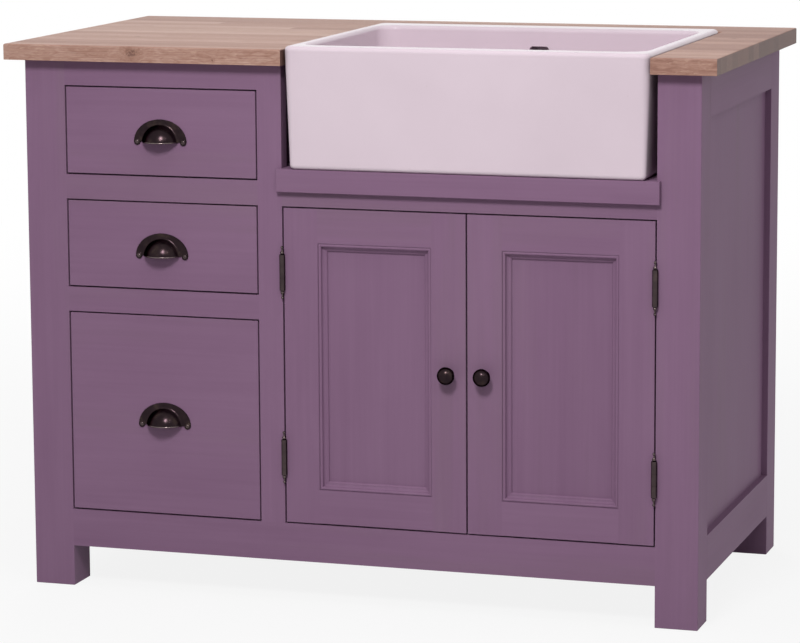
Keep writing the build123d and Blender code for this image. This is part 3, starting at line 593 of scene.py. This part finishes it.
def steel():
    """Zinc-plated steel with a fine drawn texture."""
    n = Nodes("steel")
    drawn = n.streaks(n.place, 30.0, 900.0, detail=3.0)
    bloom = n.noise(n.place, 55.0, detail=3.0, roughness=0.6)
    body = n.weighted((drawn, 0.5), (bloom, 0.5))
    colour = n.ramp(body, (0.30, STEEL_DARK), (0.70, STEEL_LIGHT))
    n.set(Base_Color=colour, Metallic=0.95, Roughness=n.add(0.26, n.times(drawn, 0.16)))
    n.bump(drawn, distance=0.0002, strength=0.25)
    return n.material


def catch_plastic():
    """Off-white moulded plastic with a fine grained skin."""
    n = Nodes("catch_plastic")
    skin = n.noise(n.place, 1500.0, detail=2.0)
    cloud = n.noise(n.place, 30.0, detail=2.0)
    colour = n.ramp(cloud, (0.30, PLASTIC_DARK), (0.70, PLASTIC_LIGHT))
    n.set(Base_Color=colour, Roughness=n.add(0.46, n.times(skin, 0.12)), Specular_IOR_Level=0.4)
    n.bump(skin, distance=0.0002, strength=0.2)
    return n.material


FINISHES = {
    "paint": paint,
    "plain_timber": timber,
    "oak": oak,
    "plywood": plywood,
    "fireclay": fireclay,
    "dark_bronze": bronze,
    "rubbed_bronze": rubbed_bronze,
    "steel": steel,
    "catch_plastic": catch_plastic,
}

# Finishes that are made once for each direction of grain
GRAINED = ("paint", "plain_timber")

# Nodes that look different from the rest of their slot: the bearers beside the sink are painted over,
# which also darkens the gap beside the sink as painted shade, and the hinges' leaves are brighter from
# rubbing
OWN_FINISH = {
    "sink_bearers": "paint",
    "hinge_frame_leaves": "rubbed_bronze",
    "left_door_hinge_leaves": "rubbed_bronze",
    "right_door_hinge_leaves": "rubbed_bronze",
}

# Nodes whose grain runs up the unit, and those whose grain runs from front to back
UPRIGHT = ("leg", "stile", "panel_left", "panel_right", "door_panel", "moulding", "partition", "back_panel")
DEEP = ("side_top", "side_bottom", "sides", "runners", "kickers", "bearers")

finishes_made = {}


def grain_axis(node):
    """The axis that a node's grain follows."""
    if any(word in node for word in UPRIGHT):
        return "Z"
    if any(word in node for word in DEEP):
        return "Y"
    return "X"


def finish(name, axis="X"):
    """The material of that name, made once, or once for each direction of grain."""
    key = (name, axis) if name in GRAINED else (name,)
    if key not in finishes_made:
        finishes_made[key] = FINISHES[name](*key[1:])
    return finishes_made[key]


def dress_cad():
    """Gives every CAD node its own finish, or else the one that its slot names."""
    for part in frame["record"]["subparts"]:
        node = frame["nodes"][part["node"]]
        name = OWN_FINISH.get(part["node"], part["material_slot"])
        material = finish(name, grain_axis(part["node"]))
        node.data.materials.clear()
        node.data.materials.append(material)


class Shape:
    """Gathers the surfaces of one piece in millimetres and makes its mesh."""

    def __init__(self):
        self.mesh = bmesh.new()
        self.wear_and_highlight = self.mesh.verts.layers.float.new(WEAR_AND_HIGHLIGHT)

    def ring(self, points, place, wear_and_highlight=0.0):
        """Adds the points, not yet joined, at the place and with as much bright rubbing as given, partly a
        painted highlight.
        """
        spots = [self.mesh.verts.new(place @ (Vector(point) * MM)) for point in points]
        for spot in spots:
            spot[self.wear_and_highlight] = wear_and_highlight
        return spots

    def skin(self, low, high, closed=True):
        """Joins two rings of points, either of which may be a single point."""
        count = max(len(low), len(high))
        for i in range(count if closed else count - 1):
            corners = [low[i % len(low)], low[(i + 1) % len(low)]]
            corners += [high[(i + 1) % len(high)], high[i % len(high)]]
            face = list(dict.fromkeys(corners))
            if len(face) > 2:
                self.mesh.faces.new(face)

    def lathe(self, outline, place, around, wear_and_highlight=0.0, worn_and_highlit_beyond=0.0):
        """Turns an outline of radius and level round the place's Z axis, bright from rubbing past a level
        either way, partly as a painted highlight.
        """
        rings = []
        for radius, level in outline:
            turns = around if radius > 0 else 1
            angles = [2 * math.pi * i / turns for i in range(turns)]
            points = [(radius * math.cos(a), radius * math.sin(a), level) for a in angles]
            rings.append(self.ring(points, place, wear_and_highlight if abs(level) >= worn_and_highlit_beyond else 0.0))
        for low, high in zip(rings, rings[1:]):
            self.skin(low, high)

    def slotted_head(self, radius, rise, place):
        """A low domed screw head: two halves on a disc, with the slot between them."""
        half_slot = radius * SLOT_SHARE / 2
        floor = rise * SLOT_FLOOR
        disc = [(0, 0), (radius, 0), (radius, floor), (0, floor)]
        dome = [(0, 0)] + bow((0, 0), radius, rise, 0, 90)
        # The head is bright from rubbing, partly as a painted highlight
        self.lathe(disc, place, SCREW_FACETS, SCREW_WEAR_AND_HIGHLIGHT)
        for side in (1, -1):
            half = Shape()
            half.lathe(dome, Matrix.Identity(4), SCREW_FACETS, SCREW_WEAR_AND_HIGHLIGHT)
            geometry = half.mesh.verts[:] + half.mesh.edges[:] + half.mesh.faces[:]
            bmesh.ops.bisect_plane(half.mesh, geom=geometry, plane_co=(0, side * half_slot * MM, 0),
                                   plane_no=(0, -side, 0), clear_outer=True)
            bmesh.ops.holes_fill(half.mesh, edges=[e for e in half.mesh.edges if e.is_boundary])
            half.mesh.transform(place)
            mesh = bpy.data.meshes.new("half")
            half.mesh.to_mesh(mesh)
            self.mesh.from_mesh(mesh)
            bpy.data.meshes.remove(mesh)
            half.mesh.free()

    def make(self, name, slot, body, stands_for=()):
        """Makes the object in its finish, riding on its body."""
        bmesh.ops.recalc_face_normals(self.mesh, faces=self.mesh.faces[:])
        mesh = bpy.data.meshes.new(name)
        self.mesh.to_mesh(mesh)
        self.mesh.free()
        for face in mesh.polygons:
            face.use_smooth = True
        mesh.set_sharp_from_angle(angle=SHARP_ANGLE)
        mesh.materials.append(finish(slot))
        piece = bpy.data.objects.new(name, mesh)
        bpy.context.scene.collection.objects.link(piece)
        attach(piece, body)
        if stands_for:
            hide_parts(*stands_for)


def facing(point, way, turn=0.0):
    """The place at a point whose Z axis points along way."""
    rotation = way.to_track_quat("Z", "Y").to_matrix().to_4x4()
    return Matrix.Translation(point) @ rotation @ Matrix.Rotation(turn, 4, "Z")


def bow(centre, across, up, start, end, steps=10):
    """Points on an ellipse's arc, from one angle in degrees to another."""
    angles = [math.radians(start + (end - start) * i / steps) for i in range(steps + 1)]
    points = [(centre[0] + across * math.cos(a), centre[1] + up * math.sin(a)) for a in angles]
    return [(0.0 if abs(x) < 1e-9 else x, y) for x, y in points]


def through(points, steps=5):
    """A smooth line through the points."""
    ends = [points[0]] + list(points) + [points[-1]]
    line = [points[0]]
    for a, b, c, d in zip(ends, ends[1:], ends[2:], ends[3:]):
        for i in range(1, steps + 1):
            t = i / steps
            weights = (-t + 2 * t**2 - t**3, 2 - 5 * t**2 + 3 * t**3, t + 4 * t**2 - 3 * t**3, t**3 - t**2)
            line.append(tuple(sum(w * p[k] for w, p in zip(weights, (a, b, c, d))) / 2 for k in (0, 1)))
    return line


def knob_outline():
    """From the door's face to the tip: a stepped foot, a curved neck and a dome."""
    rise = KNOB_REACH - KNOB_RIM_LEVEL
    dome = bow((0, KNOB_RIM_LEVEL), KNOB_RADIUS, rise, 0, 90, DOME_STEPS)
    return list(KNOB_FOOT) + through(KNOB_NECK) + dome


def make_knob(side):
    """A turned knob on the door's face and its screw's head on the back."""
    node = side + "_door_knob"
    low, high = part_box(node)
    middle = (low + high) / 2
    face = Vector((middle.x, low.y + KNOB_REACH * MM, middle.z))
    back = Vector((middle.x, high.y - KNOB_SCREW_RISE * MM, middle.z))
    shape = Shape()
    shape.lathe(knob_outline(), facing(face, FORWARD), KNOB_FACETS)
    shape.slotted_head(KNOB_SCREW_RADIUS, KNOB_SCREW_RISE, facing(back, BACKWARD, KNOB_SCREW_TURN))
    shape.make(side + "_door_turned_knob", "dark_bronze", side + "_door", [node])


def hood_ray(angle, radius):
    """How far a ball's cut with the plate's back lies from the middle, at an angle round it."""
    ring = radius**2 - HOOD_BACK**2
    drop = HOOD_DROP * math.sin(angle)
    return math.sqrt(drop**2 + ring - HOOD_DROP**2) - drop


def hood_point(angle, share, radius):
    """A point on the hood, at a share of the way from the lip's middle to the plate."""
    away = share * hood_ray(angle, radius)
    x, y = away * math.cos(angle), away * math.sin(angle)
    depth = math.sqrt(max(0.0, radius**2 - x**2 - (y + HOOD_DROP) ** 2)) - HOOD_BACK
    return Vector((x * HOOD_NARROWING, y, max(0.0, depth)))


def hood_shares(steps):
    """Shares of the way from the lip's middle to the plate, closer together near the plate."""
    return [math.sin(math.pi / 2 * i / steps) for i in range(steps + 1)]


def pull_section(angle):
    """A cut through the pull at an angle round the lip's middle: out over the hood, across
    the plate to its rim, and back inside the hood."""
    way = Vector((math.cos(angle), math.sin(angle), 0))
    out = Vector((0, 0, 1))
    shares = hood_shares(HOOD_STEPS)
    over = [hood_point(angle, share, HOOD_RADIUS) for share in shares]
    hood = [point for point in over if point.z > PULL_PLATE + HOOD_FILLET]
    foot = hood_point(angle, 1.0, HOOD_RADIUS)
    corner = Vector((foot.x, foot.y, PULL_PLATE))
    landing = corner + way * HOOD_FILLET
    fillet = [hood[-1].lerp(corner, t).lerp(corner.lerp(landing, t), t) for t in (0.25, 0.5, 0.75, 1.0)]
    rim = Vector((PULL_HALF * math.cos(angle), PULL_RISE * math.sin(angle), 0))
    inset = rim - way * PULL_EDGE
    top = Vector((inset.x, inset.y, PULL_PLATE))
    shoulder = Vector((rim.x, rim.y, PULL_PLATE - PULL_EDGE))
    halfway = (top + shoulder) / 2 + (way + out) * PULL_EDGE * EDGE_BULGE
    inside = [hood_point(angle, share, HOOD_RADIUS - HOOD_WALL) for share in reversed(shares)]
    return hood + fillet + [top, halfway, shoulder, rim] + inside


def add_pull_shell(shape, place):
    """The half-moon plate and the hood, as one skin over the cuts from side to side."""
    sections = [pull_section(math.pi * i / PULL_CUTS) for i in range(PULL_CUTS + 1)]
    rings = [shape.ring(points, place) for points in zip(*sections, strict=True)]
    for ring, following in zip(rings, rings[1:]):
        shape.skin(ring, following, closed=False)
    mouth = [ring[0] for ring in rings] + [ring[-1] for ring in reversed(rings)]
    shape.mesh.faces.new(mouth)
    bmesh.ops.remove_doubles(shape.mesh, verts=shape.mesh.verts[:], dist=WELD_DISTANCE)


def lip_points():
    """The middle of the hood's wall along its open edge, from the right end to the left."""
    shares = hood_shares(LIP_STEPS)
    right = [(0.0, share) for share in reversed(shares[1:])]
    left = [(math.pi, share) for share in shares]
    return [hood_point(angle, share, HOOD_RADIUS - HOOD_WALL / 2) for angle, share in right + left]


def add_lip(shape, place):
    """The rolled edge of the hood: a bead along its lip, bright from rubbing, which also paints the
    highlight along it.
    """
    up = Vector((0, 1, 0))
    angles = [2 * math.pi * i / LIP_FACETS for i in range(LIP_FACETS)]
    lip = lip_points()
    rings = []
    for before, point, after in zip([lip[0]] + lip, lip, lip[1:] + [lip[-1]]):
        side = (after - before).normalized().cross(up)
        bead = [point + (side * math.cos(a) + up * math.sin(a)) * LIP_RADIUS for a in angles]
        # The bright rubbing along the lip is partly a painted highlight
        rings.append(shape.ring(bead, place, LIP_WEAR_AND_HIGHLIGHT))
    for ring, following in zip(rings, rings[1:]):
        shape.skin(ring, following)
    for end in (rings[0], rings[-1]):
        shape.mesh.faces.new(end)


def add_ears(shape, place):
    """A round ear at each end of the plate, with its screw."""
    edge = (EAR_RADIUS - PULL_EDGE, EAR_THICKNESS - PULL_EDGE)
    rounded = bow(edge, PULL_EDGE, PULL_EDGE, 0, 90, EDGE_STEPS)
    disc = [(0, 0), (EAR_RADIUS, 0)] + rounded + [(0, EAR_THICKNESS)]
    face = Matrix.Translation(Vector((0, 0, EAR_THICKNESS)) * MM)
    reach = PULL_HALF - EAR_RADIUS
    for x, turn in zip((-reach, reach), EAR_SCREW_TURNS):
        ear = place @ Matrix.Translation(Vector((x, 0, 0)) * MM)
        shape.lathe(disc, ear, EAR_FACETS)
        head = ear @ face @ Matrix.Rotation(turn, 4, "Z")
        shape.slotted_head(EAR_SCREW_RADIUS, EAR_SCREW_RISE, head)


def make_pull(drawer):
    """A cup pull: a half-moon plate with an ear at each end and a hood with a rolled lip."""
    node = drawer + "_pull"
    low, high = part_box(node)
    origin = Vector(((low.x + high.x) / 2, high.y, low.z + EAR_RADIUS * MM))
    place = Matrix.Translation(origin) @ Matrix.Rotation(math.pi / 2, 4, "X")
    shape = Shape()
    add_pull_shell(shape, place)
    add_lip(shape, place)
    add_ears(shape, place)
    shape.make(drawer + "_cup_pull", "dark_bronze", drawer, [node])


def hinge_middles():
    """The X of the left and the right hinges' axes, and the Z of the lower and the upper hinges."""
    low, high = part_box("hinge_pins")
    reach = COLLAR_RADIUS * MM
    drop = (BARREL_LENGTH / 2 + FINIAL_HEIGHT) * MM
    return (low.x + reach, high.x - reach), (low.z + drop, high.z - drop)


def finial_outline():
    """From the barrel's end to the tip: a collar, a thin neck and a ball."""
    collar = bow((0, COLLAR_LEVEL), COLLAR_RADIUS, COLLAR_RADIUS, *COLLAR_ARC)
    tip = bow((0, FINIAL_HEIGHT - TIP_RADIUS), TIP_RADIUS, TIP_RADIUS, *TIP_ARC)
    return [(PIN_RADIUS, 0)] + collar + through(FINIAL_NECK) + tip


def make_hinge_pins():
    """Each pin runs through its barrel and ends in a turned finial, above and below."""
    low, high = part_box("hinge_pins")
    y = (low.y + high.y) / 2
    places, heights = hinge_middles()
    half = BARREL_LENGTH / 2
    upper = [(radius, half + level) for radius, level in finial_outline()]
    lower = [(radius, -level) for radius, level in reversed(upper)]
    shape = Shape()
    for x in places:
        for z in heights:
            middle = Matrix.Translation((x, y, z))
            # The finials are bright from rubbing past the barrel's ends, partly as a painted highlight
            shape.lathe(lower + upper, middle, PIN_FACETS, FINIAL_WEAR_AND_HIGHLIGHT, half + WORN_AND_HIGHLIT_BEYOND)
    shape.make("turned_hinge_pins", "dark_bronze", "cabinet", ["hinge_pins"])


def make_leaf_screws(name, body, leaves, x, way):
    """Three slotted heads on a leaf of each hinge at x, on the side of it that way says."""
    _, heights = hinge_middles()
    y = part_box(leaves)[1].y - HINGE_SCREW_INSET * MM
    shape = Shape()
    for i, z in enumerate(heights):
        for step in (-1, 0, 1):
            point = Vector((x + way * LEAF_FACE * MM, y, z + step * HINGE_SCREW_PITCH * MM))
            place = facing(point, Vector((-way, 0, 0)), SLOT_TURN * (3 * i + step))
            shape.slotted_head(HINGE_SCREW_RADIUS, FLUSH_RISE, place)
    shape.make(name, "dark_bronze", body)


def make_hinge_screws():
    """The screws of both leaves of every hinge, all but flush with their faces."""
    places, _ = hinge_middles()
    for side, x, into_door in zip(SIDES, places, (1, -1)):
        door = side + "_door"
        make_leaf_screws(door + "_hinge_screws", door, door + "_hinge_leaves", x, into_door)
        make_leaf_screws(side + "_frame_hinge_screws", "cabinet", "hinge_frame_leaves", x, -into_door)


def separate_solids(node):
    """The lowest and highest corner and the points of each separate solid of a CAD node."""
    mesh = frame["nodes"][node].data
    owner = {}

    def find(spot):
        while owner[spot] != spot:
            spot = owner[spot]
        return spot

    spots = [tuple(round(c * SPOTS_PER_METRE) for c in v.co) for v in mesh.vertices]
    for spot in spots:
        owner.setdefault(spot, spot)
    for face in mesh.polygons:
        first = find(spots[face.vertices[0]])
        for index in face.vertices[1:]:
            owner[find(spots[index])] = first
    groups = {}
    for vertex, spot in zip(mesh.vertices, spots):
        groups.setdefault(find(spot), []).append(vertex.co)
    found = []
    for points in groups.values():
        low = Vector([min(p[k] for p in points) for k in range(3)])
        high = Vector([max(p[k] for p in points) for k in range(3)])
        found.append((low, high, points))
    return sorted(found, key=lambda solid: tuple(solid[0]))


def make_bracket_screws():
    """One screw up into the worktop and one into the upright face beside it, on each angle bracket."""
    shape = Shape()
    for i, (low, high, points) in enumerate(separate_solids("worktop_brackets")):
        feet = [p.x for p in points if p.z < low.z + MM]
        way = 1 if sum(feet) / len(feet) < (low.x + high.x) / 2 else -1
        wall = low.x if way > 0 else high.x
        y = (low.y + high.y) / 2
        under = Vector((wall + way * BRACKET_SCREW_OUT * MM, y, high.z - BRACKET_THICKNESS * MM))
        beside = Vector((wall + way * BRACKET_THICKNESS * MM, y, low.z + BRACKET_SCREW_UP * MM))
        for place in (facing(under, DOWNWARD, SLOT_TURN * i), facing(beside, Vector((way, 0, 0)), i)):
            shape.slotted_head(SMALL_SCREW_RADIUS, SMALL_SCREW_RISE, place)
    shape.make("bracket_screws", "steel", "cabinet")


def make_strike_screws(side):
    """The two screws in the strike plate on a door's back."""
    low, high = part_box(side + "_door_strike")
    shape = Shape()
    for share in STRIKE_SCREW_SHARES:
        point = Vector((low.x + (high.x - low.x) * share, high.y, (low.z + high.z) / 2))
        place = facing(point, BACKWARD, share * STRIKE_SCREW_TURN)
        shape.slotted_head(STRIKE_SCREW_RADIUS, FLUSH_RISE, place)
    shape.make(side + "_strike_screws", "steel", side + "_door")


def make_stop_screw(drawer):
    """The screw that holds a drawer's stop, half the stop's width above its lower end."""
    low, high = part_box(drawer + "_stop")
    point = Vector(((low.x + high.x) / 2, high.y, low.z + (high.x - low.x) / 2))
    shape = Shape()
    shape.slotted_head(SMALL_SCREW_RADIUS, STOP_SCREW_RISE, facing(point, BACKWARD, STOP_SCREW_TURN))
    shape.make(drawer + "_stop_screw", "steel", drawer)


def make_hardware():
    for side in SIDES:
        make_knob(side)
    for drawer in DRAWERS:
        make_pull(drawer)
    make_hinge_pins()
    make_hinge_screws()
    make_bracket_screws()
    for side in SIDES:
        make_strike_screws(side)
    for drawer in DRAWERS:
        make_stop_screw(drawer)


def stage_material():
    """A pale floor that takes shadow, lifted towards white where the camera or a glossy surface sees it."""
    n = Nodes("stage")
    cloud = n.noise(n.place, 1.2, detail=2.0)
    n.set(Base_Color=n.ramp(cloud, (0.3, FLOOR_DARK), (0.7, FLOOR_LIGHT)))
    n.set(Roughness=0.85, Specular_IOR_Level=0.1)
    rays = n.new("ShaderNodeLightPath")
    seen = n.math("MAXIMUM", rays.outputs["Is Camera Ray"], rays.outputs["Is Glossy Ray"])
    away = n.new("ShaderNodeVectorMath")
    away.operation = "LENGTH"
    n.feed(away.inputs[0], n.place)
    fade = n.step(away.outputs["Value"], *FLOOR_FADE)
    lift = n.add(FLOOR_LIFT, n.times(fade, 1.0 - FLOOR_LIFT))
    glow = n.new("ShaderNodeEmission")
    glow.inputs["Strength"].default_value = 1.0
    blend = n.new("ShaderNodeMixShader")
    n.feed(blend.inputs["Fac"], n.times(seen, lift))
    n.feed(blend.inputs[1], n.shader.outputs[0])
    n.feed(blend.inputs[2], glow.outputs[0])
    n.feed(n.tree.nodes["Material Output"].inputs["Surface"], blend.outputs[0])
    return n.material


def make_floor():
    """One large level face, just under the unit's feet."""
    mesh = bpy.data.meshes.new("floor")
    corners = [(-FLOOR_REACH, -FLOOR_REACH, 0), (FLOOR_REACH, -FLOOR_REACH, 0),
               (FLOOR_REACH, FLOOR_REACH, 0), (-FLOOR_REACH, FLOOR_REACH, 0)]
    mesh.from_pydata(corners, [], [(0, 1, 2, 3)])
    mesh.materials.append(stage_material())
    floor = bpy.data.objects.new("floor", mesh)
    floor.location.z = -FLOOR_DROP
    bpy.context.scene.collection.objects.link(floor)


def make_world():
    """Even light from all round, weaker on surfaces than the plain white that is seen."""
    world = bpy.data.worlds.new("studio")
    bpy.context.scene.world = world
    world.use_nodes = True
    tree = world.node_tree
    rays = tree.nodes.new("ShaderNodeLightPath")
    seen = rays.outputs["Is Camera Ray"]
    for kind in ("Is Glossy Ray", "Is Transmission Ray"):
        larger = tree.nodes.new("ShaderNodeMath")
        larger.operation = "MAXIMUM"
        tree.links.new(seen, larger.inputs[0])
        tree.links.new(rays.outputs[kind], larger.inputs[1])
        seen = larger.outputs[0]
    level = tree.nodes.new("ShaderNodeMapRange")
    tree.links.new(seen, level.inputs["Value"])
    level.inputs["To Min"].default_value = WORLD_LIGHT
    level.inputs["To Max"].default_value = 1.0
    back = tree.nodes["Background"]
    back.inputs["Color"].default_value = WHITE
    tree.links.new(level.outputs["Result"], back.inputs["Strength"])


def make_lamp(name, place, side, level, mirrored):
    """A square lamp. At level 1, a surface at the lit point that faces it shows its colour."""
    way = LIT_POINT - Vector(place)
    data = bpy.data.lights.new(name, "AREA")
    data.shape = "SQUARE"
    data.size = side
    data.energy = level * math.pi**2 * way.length**2
    light = bpy.data.objects.new(name, data)
    light.location = place
    light.rotation_euler = way.to_track_quat("-Z", "Y").to_euler()
    light.visible_glossy = mirrored
    bpy.context.scene.collection.objects.link(light)


def make_camera():
    """A camera on the photograph's line of sight, with the same field of view."""
    data = bpy.data.cameras.new("camera")
    data.sensor_width = SENSOR_WIDTH
    data.lens = FOCAL_PIXELS / PICTURE_WIDTH * SENSOR_WIDTH
    data.shift_y = FRAMING_SHIFT
    data.clip_end = CAMERA_SIGHT
    camera = bpy.data.objects.new("camera", data)
    bpy.context.scene.collection.objects.link(camera)
    turn = Matrix.Rotation(CAMERA_HEADING, 4, "Z")
    turn = turn @ Matrix.Rotation(math.pi / 2 - CAMERA_DOWN, 4, "X")
    turn = turn @ Matrix.Rotation(CAMERA_ROLL, 4, "Z")
    camera.matrix_world = Matrix.Translation(CAMERA_PLACE) @ turn
    bpy.context.scene.camera = camera


dress_cad()
make_hardware()
make_floor()
make_world()
for lamp in LAMPS:
    make_lamp(*lamp)
make_camera()
bpy.context.scene.view_settings.view_transform = "Standard"
